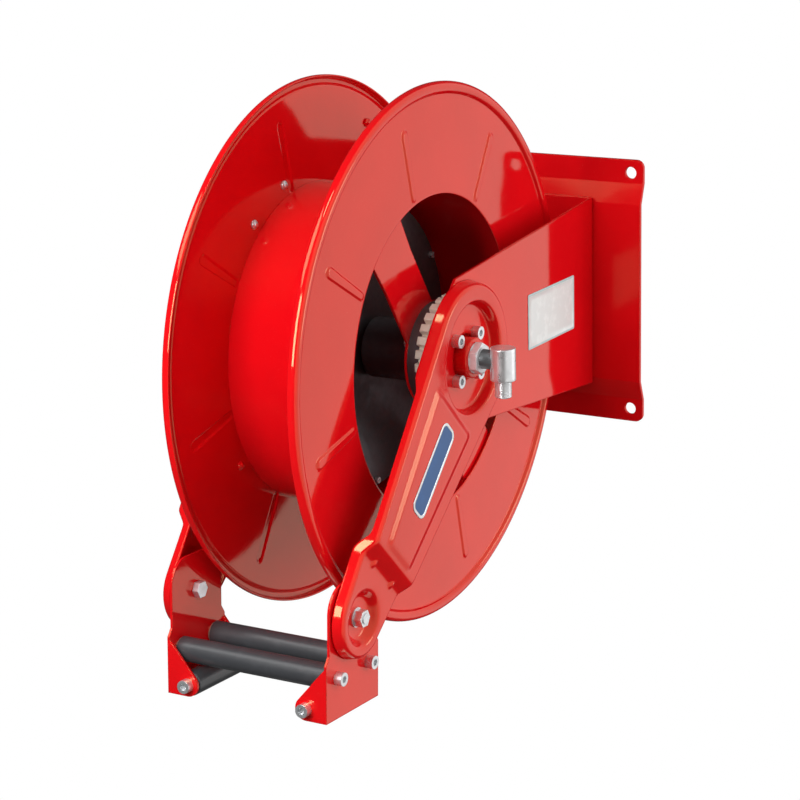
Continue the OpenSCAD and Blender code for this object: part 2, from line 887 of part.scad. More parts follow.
module end_hub() {
    color("dimgray") at_hub() mirror([1, 0, 0]) hub_body(spigot_end);
}

// Screws from inside, through the cross bar into a hub's flange
module hub_screws(seat) {
    at_hub_screws() translate([seat, 0, 0]) mirror([1, 0, 0])
        socket_screw(hub_screw_r, bar_out + hub_thread - seat);
}

module right_hub_screws() {
    color("silver") at_hub() hub_screws(bar_in);
}

module left_hub_screws() {
    color("silver") at_hub() mirror([1, 0, 0]) hub_screws(bar_in - case_t);
}

module right_bearing() {
    color("peru") at_hub() x_ring(hub_face - bearing_len, hub_face, bush_r, axle_r + run_fit);
}

module left_bearing() {
    color("peru") at_hub() mirror([1, 0, 0])
        x_ring(spigot_end, hub_face, bush_r, axle_r + run_fit);
}

// Lip seals on both sides of the chamber that leads water to the hose pipe
module water_seals() {
    color("black") at_hub() {
        for (x = [port_x - seal_room - seal_w, port_x + seal_room]) {
            x_ring(x, x + seal_w, bush_r, axle_r + run_fit);
        }
    }
}

// Pipe from the hub's chamber through the shell, with the hose thread on its end
module hose_pipe() {
    shoulder = shell_r + 1;
    end = shoulder + tail_out;
    color("gainsboro") at_hub() translate([port_x, 0, 0]) rotate([-90, 0, 0])
        rotate_extrude() polygon([
            [water_r - 1, bush_r + 1], [pipe_r, bush_r + 1], [pipe_r, shoulder],
            [thread_r, shoulder], [thread_r, end], [thread_r - 1, end + 1],
            [water_r - 1, end + 1],
        ]);
}

// ---------- ratchet ----------

module ratchet_wheel() {
    color("gainsboro") at_hub() difference() {
        yz(hub_face, ratchet_w) {
            circle(root_r);
            for (k = [0:teeth - 1]) {
                rotate(k * tooth_pitch) polygon([
                    [root_r - 2, -tooth_root], [ratchet_r - 1, -tooth_side],
                    [ratchet_r, -tooth_tip], [ratchet_r, tooth_tip],
                    [ratchet_r - 1, tooth_side], [root_r - 2, tooth_root],
                ]);
            }
        }
        x_hole(hub_face, ratchet_out, ratchet_bore_r);
        at_ratchet_screws() x_hole(hub_face, ratchet_out, ratchet_screw_r + bolt_fit);
    }
}

module ratchet_screws() {
    color("silver") at_hub() at_ratchet_screws() translate([ratchet_out, 0, 0])
        socket_screw(ratchet_screw_r, ratchet_w + hub_thread);
}

// The pawl is drawn lifted clear of the teeth; it swings down by pawl_lift degrees
module pawl() {
    bottom = root_r + 1;
    color("silver") at_hub() translate(pawl_pin_at) rotate([-pawl_lift, 0, 0])
        translate(-pawl_pin_at) difference() {
            yz(pawl_x, pawl_w) {
                intersection() {
                    difference() {
                        circle(pawl_out_r);
                        circle(pawl_in_r);
                    }
                    polygon([
                        [0, 0], 90 * [cos(pawl_angle), sin(pawl_angle)],
                        90 * [cos(gap_angle + 3), sin(gap_angle + 3)],
                    ]);
                }
                rotate(pawl_angle) translate([pawl_reach, 0]) circle(pawl_boss_r);
                rotate(gap_angle) polygon([
                    [bottom, -1.2], [pawl_in_r + 2, -2.2], [pawl_in_r + 2, 2.2], [bottom, 1.2],
                ]);
            }
            translate(pawl_pin_at) x_hole(pawl_x, pawl_x + pawl_w, pawl_pin_r + run_fit);
        }
}

// Shouldered pin, riveted into the frame side
module pawl_pin() {
    color("silver") at_hub() translate(pawl_pin_at) {
        x_disc(pawl_x - 2, side_out, pawl_pin_r);
        x_disc(pawl_x - 2 - gap, pawl_x - gap, pawl_boss_r);
        x_disc(pawl_x + pawl_w + gap, side_in, pawl_boss_r);
    }
}

// Torsion spring round the pin's shoulder, with one leg on the frame and one over the pawl
module pawl_spring() {
    coil_r = pawl_boss_r + spring_wire_r;
    coil_pitch = 2 * spring_wire_r - sunk;
    leg_r = spring_wire_r - sunk;
    first = pawl_x + pawl_w + gap + spring_wire_r;
    color("dimgray") at_hub() translate(pawl_pin_at) {
        for (k = [0:2]) {
            translate([first + k * coil_pitch, 0, 0]) rotate([0, 90, 0])
                rotate_extrude() translate([coil_r, 0]) circle(spring_wire_r, $fn = 24);
        }
        translate([0, coil_r, 0]) x_disc(first + 2 * coil_pitch, side_in, leg_r);
        rotate([pawl_angle + 90 - pawl_lift, 0, 0]) translate([first, 0, coil_r])
            rotate([-90, 0, 0]) cylinder(r = leg_r, h = 16);
    }
}

// ---------- mainspring ----------

// Cup that holds the mainspring, fixed to the far cross bar
module spring_case() {
    color("dimgray") at_hub() difference() {
        x_disc(case_out, case_in, case_r);
        x_disc(case_out + case_t, case_in + cut, case_r - case_t);
        x_hole(case_out, case_out + case_t, barrel_r + gap);
        mirror([1, 0, 0]) at_hub_screws()
            x_hole(bar_in - case_t, bar_in, hub_screw_r + bolt_fit);
        at_cover_screws()
            x_disc(case_in - cover_boss_len, case_in + cut, cover_screw_r + run_fit);
    }
    color("dimgray") at_hub() at_cover_screws()
        x_ring(case_in - cover_boss_len, case_in, cover_boss_r, cover_screw_r + run_fit);
}

module at_cover_screws() {
    for (a = [30:60:330]) {
        rotate([a, 0, 0]) translate([0, case_r - cover_boss_r - 1, 0]) children();
    }
}

module spring_cover() {
    color("dimgray") at_hub() difference() {
        x_disc(case_in, case_in + case_t, case_r);
        x_hole(case_in, case_in + case_t, axle_r + 1);
        at_cover_screws() x_hole(case_in, case_in + case_t, cover_screw_r + bolt_fit);
    }
}

module cover_screws() {
    color("silver") at_hub() at_cover_screws() translate([case_in + case_t, 0, 0])
        socket_screw(cover_screw_r, case_t + hub_thread);
}

// Flat strip wound in a spiral between the arbor and the case
module mainspring() {
    in_r = arbor_r + gap + strip_t / 2;
    out_r = case_r - case_t - 12;
    n = 24 * strip_turns;
    function spiral(i, off) = (in_r + (out_r - in_r) * i / n + off) * [cos(15 * i), sin(15 * i)];
    color("slategray") at_hub() yz(strip_x0, strip_w) polygon(concat(
        [for (i = [0:n]) spiral(i, strip_t / 2)],
        [for (i = [n:-1:0]) spiral(i, -strip_t / 2)]
    ));
}

// ---------- roller guide ----------

// Place of the point where a line from the tab's top touches its round corner
function tab_touch() =
    let (dx = side_roller_x - guide_out, dz = side_roller_z + tab_drop)
    let (reach = sqrt(dx * dx + dz * dz - tab_r * tab_r))
    let (dir = atan2(dz, dx) - atan2(tab_r, reach))
    [guide_out + reach * cos(dir), -tab_drop + reach * sin(dir)];

// Shape of a tab, drawn in X and Z
module tab_outline() {
    polygon([
        [guide_out, -tab_drop], tab_touch(), [side_roller_x, side_roller_z],
        [side_roller_x, -guide_drop], [guide_out, -guide_drop],
    ]);
    translate([side_roller_x, side_roller_z]) circle(tab_r);
}

module at_long_roller(side) {
    translate([0, side * roller_half, -roller_drop]) children();
}

module at_long_rollers() {
    at_long_roller(-1) children();
    at_long_roller(1) children();
}

// Side plate of the guide with two bent tabs that carry the short roller
module guide_plate() {
    flat_half = shoulder_half - shoulder_r;
    color("firebrick") at_guide() difference() {
        union() {
            yz(guide_in, guide_t) {
                for (y = [-flat_half, flat_half]) {
                    translate([y, guide_top - shoulder_r]) circle(shoulder_r);
                }
                translate([-flat_half, 0]) square([2 * flat_half, guide_top]);
                polygon([
                    [-shoulder_half, guide_top - shoulder_r],
                    [-shoulder_half, flare_h - tab_drop], [-guide_half, -tab_drop],
                    [-guide_half, -guide_drop], [guide_half, -guide_drop],
                    [guide_half, -tab_drop], [shoulder_half, flare_h - tab_drop],
                    [shoulder_half, guide_top - shoulder_r],
                ]);
            }
            for (y = [guide_half, -tab_in]) {
                translate([0, y, 0]) rotate([90, 0, 0]) linear_extrude(guide_t) tab_outline();
            }
        }
        x_hole(guide_in, guide_out, pivot_r + run_fit);
        at_long_rollers() x_hole(guide_in, guide_out, shaft_screw_r + bolt_fit);
        at_short_roller() x_hole(-guide_half, guide_half, shaft_screw_r + bolt_fit);
    }
}

module right_guide_plate() {
    guide_plate();
}

module left_guide_plate() {
    mirror([1, 0, 0]) guide_plate();
}

// Bolts that the guide swings on, with their heads inside it
module pivot_bolts() {
    head_out = guide_in - gap;
    color("silver") at_guide() both_sides() {
        x_hex(head_out - pivot_head_t, head_out, pivot_flats);
        x_disc(head_out - cut, pad_floor_out + washer_t + pivot_nut_t + bolt_end, pivot_r);
    }
}

module pivot_washers() {
    color("silver") at_guide() both_sides()
        x_ring(pad_floor_out, pad_floor_out + washer_t, washer_r, pivot_r + bolt_fit);
}

module pivot_nuts() {
    seat = pad_floor_out + washer_t;
    color("silver") at_guide() both_sides() difference() {
        x_hex(seat, seat + pivot_nut_t, pivot_flats);
        x_hole(seat, seat + pivot_nut_t, pivot_r + run_fit);
    }
}

// Washers that hold the guide at the angle it is turned to
module friction_washers() {
    color("black") at_guide() both_sides()
        x_ring(guide_out + gap, pad_floor_in, friction_r, pivot_r + bolt_fit);
}

// A shaft about the X axis with a tapped hole in each end
module tapped_shaft(half) {
    difference() {
        x_disc(-half, half, shaft_r);
        both_sides()
            x_disc(half - shaft_thread - 2 * screw_tip, half + cut, shaft_screw_r + run_fit);
    }
}

// Puts a shape drawn about the X axis onto the short roller's axis on the inlet side
module at_short_roller() {
    translate([side_roller_x, 0, side_roller_z]) rotate([0, 0, 90]) children();
}

module long_shafts() {
    color("silver") at_guide() at_long_rollers() tapped_shaft(guide_in);
}

module short_shafts() {
    color("silver") at_guide() both_sides() at_short_roller() tapped_shaft(tab_in);
}

module shaft_screws() {
    color("silver") at_guide() {
        both_sides() at_long_rollers() translate([guide_out, 0, 0])
            socket_screw(shaft_screw_r, guide_t + shaft_thread);
        both_sides() at_short_roller() both_sides() translate([guide_half, 0, 0])
            socket_screw(shaft_screw_r, guide_t + shaft_thread);
    }
}

// Roller tube; half is the distance from its middle to the plate beside it
module roller(half) {
    end = half - gap - bush_flange_t;
    turned([
        [roller_bore_r, -end], [roller_r - roller_chamfer, -end],
        [roller_r, roller_chamfer - end], [roller_r, end - roller_chamfer],
        [roller_r - roller_chamfer, end], [roller_bore_r, end],
    ]);
}

// Flanged bushes in both ends of a roller
module roller_bushes(half) {
    end = half - gap - bush_flange_t;
    both_sides() turned([
        [shaft_r + run_fit, end - bush_len], [roller_bore_r, end - bush_len],
        [roller_bore_r, end], [bush_flange_r, end],
        [bush_flange_r, half - gap], [shaft_r + run_fit, half - gap],
    ]);
}

module front_roller() {
    color("dimgray") at_guide() at_long_roller(-1) roller(guide_in);
}

module rear_roller() {
    color("dimgray") at_guide() at_long_roller(1) roller(guide_in);
}

module right_roller() {
    color("dimgray") at_guide() at_short_roller() roller(tab_in);
}

module left_roller() {
    color("dimgray") at_guide() mirror([1, 0, 0]) at_short_roller() roller(tab_in);
}

module front_roller_bushes() {
    color("peru") at_guide() at_long_roller(-1) roller_bushes(guide_in);
}

module rear_roller_bushes() {
    color("peru") at_guide() at_long_roller(1) roller_bushes(guide_in);
}

module right_roller_bushes() {
    color("peru") at_guide() at_short_roller() roller_bushes(tab_in);
}

module left_roller_bushes() {
    color("peru") at_guide() mirror([1, 0, 0]) at_short_roller() roller_bushes(tab_in);
}

// ---------- signs ----------

// Blank badge on the raised panel of the inlet side's arm
module badge() {
    color("royalblue") along_arm() translate([0, badge_at, 0])
        yz(arm_face + panel_h, sign_t) rounded_plate(badge_len, badge_w, 9);
}

// Blank label on the inlet side of the frame
module label() {
    color("white") at_hub() translate([0, label_at, label_up])
        yz(side_out, sign_t) rounded_plate(label_len, label_h, 2);
}

wall_plate();
arm_frame();
frame_bolts();
frame_nuts();
right_outlet_arm();
left_outlet_arm();
right_arm_screws();
left_arm_screws();
axle();
axle_end_flange();
axle_circlip();
spring_arbor();
swivel_nut();
swivel_seal();
inlet_elbow();
right_flange();
left_flange();
drum_shell();
right_cross_bar();
left_cross_bar();
drum_hub();
end_hub();
right_hub_screws();
left_hub_screws();
right_bearing();
left_bearing();
water_seals();
hose_pipe();
ratchet_wheel();
ratchet_screws();
pawl();
pawl_pin();
pawl_spring();
spring_case();
spring_cover();
cover_screws();
mainspring();
right_guide_plate();
left_guide_plate();
pivot_bolts();
pivot_washers();
pivot_nuts();
friction_washers();
long_shafts();
short_shafts();
shaft_screws();
front_roller();
rear_roller();
right_roller();
left_roller();
front_roller_bushes();
rear_roller_bushes();
right_roller_bushes();
left_roller_bushes();
badge();
label();
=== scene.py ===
"""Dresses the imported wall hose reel: pressed flanges and arms, enamel, zinc, rubber and nylon, light and camera.

The row frame has X along the reel axis, +Y into the wall and +Z up. Blender's lengths are metres. The shape
functions count in millimetres and turn to metres where they place their points.
"""
import json
from math import cos, radians, sin

import bmesh
import bpy
import numpy as np
from mathutils import Matrix, Vector

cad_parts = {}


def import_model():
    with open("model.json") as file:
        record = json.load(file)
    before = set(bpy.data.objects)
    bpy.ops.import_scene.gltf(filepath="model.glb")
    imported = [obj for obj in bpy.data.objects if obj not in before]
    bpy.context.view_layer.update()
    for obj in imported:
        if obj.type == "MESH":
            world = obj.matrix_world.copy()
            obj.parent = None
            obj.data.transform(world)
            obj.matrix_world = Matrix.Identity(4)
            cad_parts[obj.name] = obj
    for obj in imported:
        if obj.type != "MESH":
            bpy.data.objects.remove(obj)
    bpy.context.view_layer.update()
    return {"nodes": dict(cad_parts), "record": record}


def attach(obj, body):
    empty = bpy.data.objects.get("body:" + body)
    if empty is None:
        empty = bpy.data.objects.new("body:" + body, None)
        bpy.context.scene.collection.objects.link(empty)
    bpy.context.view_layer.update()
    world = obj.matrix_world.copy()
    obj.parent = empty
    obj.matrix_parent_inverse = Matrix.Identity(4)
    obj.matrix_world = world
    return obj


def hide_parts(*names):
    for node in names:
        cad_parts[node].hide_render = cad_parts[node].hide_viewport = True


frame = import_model()
mm = 0.001
HUB_Y, HUB_Z = -310.0, -4.5
HUB = Vector((0.0, HUB_Y, HUB_Z)) * mm

# ---------------------------------------------------------------- camera

CAMERA_TURN, CAMERA_RISE, CAMERA_ROLL = 30.09, 15.19, -1.34
CAMERA_AIM = Vector((0.02724, -0.310, -0.05672))
CAMERA_FAR = 2.40585
LENS, SENSOR = 109.0, 36.0


def place_camera():
    """The camera stands CAMERA_FAR from its aim, CAMERA_TURN degrees right of the front and CAMERA_RISE degrees
    up, and rolls about its own line of sight."""
    az, el, roll = radians(CAMERA_TURN), radians(CAMERA_RISE), radians(CAMERA_ROLL)
    back = Vector((sin(az) * cos(el), -cos(az) * cos(el), sin(el)))
    right = Vector((cos(az), sin(az), 0.0))
    up = back.cross(right)
    turned_right = right * cos(roll) + up * sin(roll)
    turned_up = up * cos(roll) - right * sin(roll)
    cam = bpy.data.objects.new("camera", bpy.data.cameras.new("camera"))
    bpy.context.scene.collection.objects.link(cam)
    cam.data.lens = LENS
    cam.data.sensor_width = SENSOR
    cam.data.clip_start = 0.05
    cam.data.clip_end = 50.0
    where = CAMERA_AIM + back * CAMERA_FAR
    cam.matrix_world = Matrix((
        (turned_right.x, turned_up.x, back.x, where.x),
        (turned_right.y, turned_up.y, back.y, where.y),
        (turned_right.z, turned_up.z, back.z, where.z),
        (0, 0, 0, 1),
    ))
    bpy.context.scene.camera = cam


place_camera()

# ---------------------------------------------------------------- materials


class Nodes:
    """A short way to write a material's node tree. Patterns are placed by Object coordinates."""

    def __init__(self, name):
        self.mat = bpy.data.materials.new(name)
        self.mat.use_nodes = True
        self.tree = self.mat.node_tree
        self.bsdf = self.tree.nodes["Principled BSDF"]
        self.place = self.add("ShaderNodeTexCoord").outputs["Object"]

    def add(self, kind, inputs=None, **settings):
        """A node with these settings, and a value or a link on each named input."""
        node = self.tree.nodes.new(kind)
        for key, value in settings.items():
            setattr(node, key, value)
        for key, value in (inputs or {}).items():
            self.put(node.inputs[key], value)
        return node

    def put(self, socket, value):
        """Links an output to the socket, or sets a plain value on it."""
        if isinstance(value, bpy.types.NodeSocket):
            self.tree.links.new(value, socket)
        else:
            socket.default_value = value

    def math(self, operation, *values):
        node = self.add("ShaderNodeMath", operation=operation)
        for socket, value in zip(node.inputs, values):
            self.put(socket, value)
        return node.outputs[0]

    def noise(self, scale, detail=3.0, rough=0.55, stretch=None):
        """Noise with scale cells to the metre, drawn out along an axis where stretch is below 1."""
        place = self.place
        if stretch:
            place = self.add("ShaderNodeMapping", {"Vector": place, "Scale": stretch}).outputs[0]
        inputs = {"Vector": place, "Scale": scale, "Detail": detail, "Roughness": rough}
        return self.add("ShaderNodeTexNoise", inputs).outputs["Fac"]

    def band(self, value, low, high, to_low=0.0, to_high=1.0):
        """Stretches the part of value between low and high over to_low and to_high."""
        inputs = {"Value": value, "From Min": low, "From Max": high, "To Min": to_low, "To Max": to_high}
        return self.add("ShaderNodeMapRange", inputs).outputs[0]

    def mix(self, factor, a, b):
        """Colour a where the factor is 0, colour b where it is 1."""
        node = self.add("ShaderNodeMix", data_type="RGBA")
        self.put(node.inputs[0], factor)
        self.put(node.inputs[6], a)
        self.put(node.inputs[7], b)
        return node.outputs[2]

    def rounded(self, radius):
        """A normal that rounds sharp edges over the radius."""
        return self.add("ShaderNodeBevel", {"Radius": radius}, samples=4).outputs[0]

    def bump(self, height, depth, strength, normal=None):
        inputs = {"Height": height, "Distance": depth, "Strength": strength}
        if normal is not None:
            inputs["Normal"] = normal
        return self.add("ShaderNodeBump", inputs).outputs[0]

    def finish(self, **sockets):
        """Fills the shader's sockets, with _ for each space in their names."""
        for key, value in sockets.items():
            self.put(self.bsdf.inputs[key.replace("_", " ")], value)
        return self.mat


def rgb(r, g, b):
    return (r, g, b, 1.0)


RED = (0.80, 0.004, 0.008)
DEEP_RED = (0.70, 0.003, 0.007)
DUST = rgb(0.9, 0.45, 0.35)
GLOSS_TINT = rgb(1.0, 0.90, 0.48)


def enamel(name, edge, rough=0.06, shine=0.66):
    """Gloss red enamel: two tones in broad clouds, orange peel over a faint flow in the sheet, specks of dust,
    scuffs that are a little rougher, and sheet edges rounded over the edge radius."""
    n = Nodes(name)
    tone = n.noise(7.0, 4.0)
    dust = n.band(n.noise(900.0, 2.0), 0.68, 0.74)
    base = n.mix(n.band(tone, 0.35, 0.7), rgb(*RED), rgb(*DEEP_RED))
    scuff = n.band(n.noise(38.0, 6.0, 0.7), 0.55, 0.75)
    edges = n.rounded(edge) if edge else None
    flow = n.bump(n.noise(14.0, 2.0), 0.0012, 0.12, edges)
    peel = n.bump(n.noise(420.0, 2.0), 0.00005, 0.3, flow)
    return n.finish(
        Base_Color=n.mix(n.math("MULTIPLY", dust, 0.08), base, DUST),
        Roughness=n.math("ADD", n.math("MULTIPLY", scuff, 0.04), rough),
        Normal=peel,
        Specular_Tint=GLOSS_TINT,
        Specular_IOR_Level=shine,
    )


def zinc(name, colour, low, high, edge, metal=0.8):
    """Plated steel: cloudy passivation between the colour and a darker one, with the roughness between low and
    high, fine turning lines, and rounded edges."""
    n = Nodes(name)
    cloud = n.noise(120.0, 4.0, 0.6)
    fine = n.noise(600.0, 2.0, 0.5, (0.25, 1.0, 1.0))
    darker = [0.72 * c for c in colour]
    return n.finish(
        Base_Color=n.mix(cloud, rgb(*colour), rgb(*darker)),
        Metallic=metal,
        Roughness=n.band(cloud, 0.3, 0.7, low, high),
        Normal=n.bump(fine, 0.0001, 0.35, n.rounded(edge)),
    )


def moulded(name, colour, rough, grain, depth):
    """Moulded or turned plastic and rubber: fine grain, and worn patches that are lighter and rougher."""
    n = Nodes(name)
    wear = n.band(n.noise(60.0, 5.0, 0.65), 0.5, 0.75)
    lighter = [min(1.0, c * 1.2 + 0.004) for c in colour]
    return n.finish(
        Base_Color=n.mix(wear, rgb(*colour), rgb(*lighter)),
        Roughness=n.math("ADD", n.math("MULTIPLY", wear, 0.05), rough),
        Normal=n.bump(n.noise(grain, 3.0), depth, 0.5, n.rounded(0.0006)),
    )


paint = enamel("red_enamel", 0.0018)
paint_smooth = enamel("red_enamel_pressed", 0.0)
paint_arm = enamel("red_enamel_arm", 0.0, 0.12)
materials = {
    "red_paint": paint,
    "zinc": zinc("zinc_plate", (0.88, 0.90, 0.92), 0.22, 0.42, 0.0007),
    "dark_steel": zinc("oiled_steel", (0.16, 0.16, 0.17), 0.3, 0.5, 0.0008),
    "ratchet_zinc": moulded("pale_ratchet", (0.80, 0.74, 0.62), 0.42, 500.0, 0.0001),
    "roller_nylon": moulded("roller_nylon", (0.046, 0.048, 0.053), 0.34, 700.0, 0.00006),
    "bronze": zinc("bronze", (0.72, 0.46, 0.36), 0.25, 0.4, 0.0005),
    "seal_rubber": moulded("seal_rubber", (0.02, 0.02, 0.02), 0.55, 500.0, 0.0001),
    "badge_blue": moulded("badge_blue", (0.010, 0.085, 0.27), 0.35, 800.0, 0.00003),
    "label_white": moulded("label_white", (0.80, 0.82, 0.82), 0.3, 800.0, 0.00003),
}
own = {
    "wall_plate": enamel("red_enamel_satin", 0.0018, 0.16, 0.3),
    "swivel_nut": zinc("bright_zinc", (0.92, 0.93, 0.95), 0.30, 0.45, 0.0005, 0.45),
}
badge_border = zinc("badge_border", (0.85, 0.86, 0.87), 0.2, 0.35, 0.0001)
label_edge = moulded("label_edge", (0.50, 0.66, 0.68), 0.3, 800.0, 0.00003)
cast_zinc = zinc("cast_zinc", (0.86, 0.87, 0.88), 0.24, 0.42, 0.0006)
shaded_zinc = zinc("shaded_zinc", (0.22, 0.23, 0.24), 0.3, 0.5, 0.0004)

slot_of = {part["node"]: part["material_slot"] for part in frame["record"]["subparts"]}
for node_name, obj in frame["nodes"].items():
    obj.data.materials.clear()
    obj.data.materials.append(own.get(node_name, materials[slot_of[node_name]]))

# ---------------------------------------------------------------- surfaces


def quads(points, wrap_rows=False, wrap_cols=False, flip=False):
    """Vertices and quad indices for a (rows, columns, 3) array: each quad joins a point to the next row and the
    next column, and the last row or column joins the first where it wraps."""
    rows, cols = points.shape[:2]
    i = np.arange(rows if wrap_rows else rows - 1)[:, None]
    j = np.arange(cols if wrap_cols else cols - 1)[None, :]
    i2, j2 = (i + 1) % rows, (j + 1) % cols
    corners = [i * cols + j, i2 * cols + j, i2 * cols + j2, i * cols + j2]
    faces = np.stack(corners, axis=-1).reshape(-1, 4)
    return points.reshape(-1, 3), faces[:, ::-1] if flip else faces


def make(name, patches, finishes, body, merge=0.0, replaced=(), index=None):
    """One smooth mesh object from several patches of quads, riding on a body. Points closer than merge become one,
    and index says which finish each quad takes."""
    points, faces, start = [], [], 0
    for p, f in patches:
        points.append(p)
        faces.append(f + start)
        start += len(p)
    points, faces = np.concatenate(points), np.concatenate(faces)
    mesh = bpy.data.meshes.new(name)
    mesh.vertices.add(len(points))
    mesh.vertices.foreach_set("co", points.astype(np.float32).ravel())
    mesh.loops.add(faces.size)
    mesh.loops.foreach_set("vertex_index", faces.astype(np.int32).ravel())
    mesh.polygons.add(len(faces))
    mesh.polygons.foreach_set("loop_start", np.arange(0, faces.size, 4, dtype=np.int32))
    mesh.polygons.foreach_set("use_smooth", np.ones(len(faces), dtype=bool))
    for finish in finishes:
        mesh.materials.append(finish)
    if index is not None:
        mesh.polygons.foreach_set("material_index", index.astype(np.int32))
    mesh.update(calc_edges=True)
    if merge:
        work = bmesh.new()
        work.from_mesh(mesh)
        bmesh.ops.remove_doubles(work, verts=work.verts, dist=merge)
        work.to_mesh(mesh)
        work.free()
    mesh.validate()
    obj = bpy.data.objects.new(name, mesh)
    bpy.context.scene.collection.objects.link(obj)
    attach(obj, body)
    if replaced:
        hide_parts(*replaced)
    return obj


def turned(profile, axis, centre, count=96, thread=None):
    """Surface of revolution of (radius, height) rows about X or Z. thread = (low, high, pitch, depth) takes
    depth * (0.5 - 0.5 * cos(2 * pi * (height / pitch - turn))) off the radius between low and high."""
    profile = np.array(profile, dtype=float)
    t = np.linspace(0, 1, count, endpoint=False)[None, :]
    r, h = profile[:, :1] + 0 * t, profile[:, 1:] + 0 * t
    if thread:
        low, high, pitch, depth = thread
        inside = (h > low) & (h < high)
        r = r - np.where(inside, depth * (0.5 - 0.5 * np.cos(2 * np.pi * (h / pitch - t))), 0)
    a, b = r * np.cos(2 * np.pi * t), r * np.sin(2 * np.pi * t)
    xyz = (h, a, b) if axis == "X" else (a, b, h)
    return quads((np.stack(xyz, axis=-1) + np.array(centre)) * mm, wrap_cols=True, flip=axis == "X")


def about_hub(far, angle):
    """Y and Z of a point so far from the hub, at an angle in degrees above the wall side."""
    return far * cos(radians(angle)) + HUB_Y, far * sin(radians(angle)) + HUB_Z


def smooth(t):
    """0 below 0, 1 above 1, and 3 t^2 - 2 t^3 between them."""
    t = np.clip(t, 0.0, 1.0)
    return t * t * (3.0 - 2.0 * t)


def ramp(t, soft):
    """0 below 0, 1 above 1, straight between them, with bends of the given softness: e(t) - e(t - 1), where e(x) is
    half the sum of x and the root of x^2 + soft^2."""
    ease = lambda x: 0.5 * (x + np.sqrt(x * x + soft * soft))
    return ease(t) - ease(t - 1.0)


# ---------------------------------------------------------------- drum flanges

RIM_R, RIM_X = 259, 67
RIM_OUTSIDE, RIM_INSIDE = 6.0, 4.0
OPENING_R, EDGE_R, WEB_R = 156.5, 156.8, 157.4
WEB_OUT, WEB_IN, WEB_MID = 69.5, 67.5, 68.5
RIB_COUNT, RIB_TURN = 8, 13.5
RIB_FROM, RIB_TO = 165, 227.5
RIB_HALF, RIB_WIDENS, RIB_WIDENS_OVER = 4.0, 1.4, 62
RIB_RISE, RIB_FLANK = 1.5, 2.6
CLAMP_HOLES = [(174, 107.5), (174, 128), (174, 212), (231, 62)]
CLAMP_HOLE_R = 3.5


def bead(angles, half):
    """Points (r, x) on a rolled rim of rounded square section about (RIM_R, RIM_X): half times the cosine inwards
    and half times the sine outwards, each raised to the power 0.8 with its sign kept."""
    c, s = np.cos(np.radians(angles)), np.sin(np.radians(angles))
    bent = lambda v: np.sign(v) * np.abs(v) ** 0.8
    return np.stack([RIM_R - half * bent(c), RIM_X + half * bent(s)], 1)


def flange(side, name, node):
    """A polar sheet: x(r) is a flat web with a rolled rim. Each rib adds a rise between rounded ends, smoothed over
    its flanks, across a half width that widens outwards. The columns lie close together on the ribs only."""
    profile = np.concatenate([
        np.stack([np.linspace(WEB_R, 252.2, 64), np.full(64, WEB_OUT)], 1),
        [[252.7, WEB_OUT]],
        bead(np.arange(30, 208, 7.0), RIM_OUTSIDE),
        bead(np.arange(205, 20, -9.0), RIM_INSIDE),
        np.stack([np.linspace(254.4, WEB_R, 64), np.full(64, WEB_IN)], 1),
        [[EDGE_R, WEB_IN + 0.3], [OPENING_R, WEB_MID], [EDGE_R, WEB_OUT - 0.3]],
    ])
    apart, on_rib = 360 / RIB_COUNT, 2.4
    near = np.linspace(-on_rib, on_rib, 41)
    wide = np.linspace(on_rib, apart - on_rib, 28)[1:-1]
    columns = np.concatenate([near, wide])
    theta = np.radians(np.concatenate([columns + RIB_TURN + apart * k for k in range(RIB_COUNT)]))
    r, x = profile[:, 0][None, :], profile[:, 1][None, :]
    away = np.radians((np.degrees(theta)[:, None] - RIB_TURN + apart / 2) % apart - apart / 2)
    across, along = np.abs(r * np.sin(away)), r * np.cos(away)
    half = RIB_HALF + RIB_WIDENS * np.clip((along - RIB_FROM) / RIB_WIDENS_OVER, 0, 1)
    end = np.maximum(np.maximum(RIB_FROM - along, along - RIB_TO), 0)
    x = x + RIB_RISE * smooth((half - np.hypot(across, end)) / RIB_FLANK + 0.35)
    y, z = r * np.cos(theta)[:, None] + HUB_Y, r * np.sin(theta)[:, None] + HUB_Z
    points = np.stack([side * x, y, z], axis=-1) * mm
    sheet = quads(points, True, True, flip=side < 0)
    return make(name, [sheet], [paint_smooth], "drum", replaced=(node,))


def drill(sheet, places, radius):
    """Cuts holes along X through the left flange, at (distance, angle) places about the hub."""
    pin = [(0, -78), (radius, -78), (radius, -60), (0, -60)]
    pins = [turned(pin, "X", (0, *about_hub(far, angle)), 32) for far, angle in places]
    points = np.concatenate([p for p, _ in pins])
    faces = np.concatenate([f + k * len(pins[0][0]) for k, (_, f) in enumerate(pins)])
    mesh = bpy.data.meshes.new("drill")
    mesh.from_pydata(points.tolist(), [], faces.tolist())
    work = bmesh.new()
    work.from_mesh(mesh)
    bmesh.ops.remove_doubles(work, verts=work.verts, dist=1e-6)
    bmesh.ops.recalc_face_normals(work, faces=work.faces)
    work.to_mesh(mesh)
    work.free()
    cutter = bpy.data.objects.new("drill", mesh)
    bpy.context.scene.collection.objects.link(cutter)
    cut = sheet.modifiers.new("holes", "BOOLEAN")
    cut.operation, cut.object, cut.solver = "DIFFERENCE", cutter, "MANIFOLD"
    bpy.context.view_layer.update()
    done = sheet.evaluated_get(bpy.context.evaluated_depsgraph_get())
    finished = bpy.data.meshes.new_from_object(done)
    sheet.modifiers.clear()
    sheet.data = finished
    bpy.data.objects.remove(cutter)


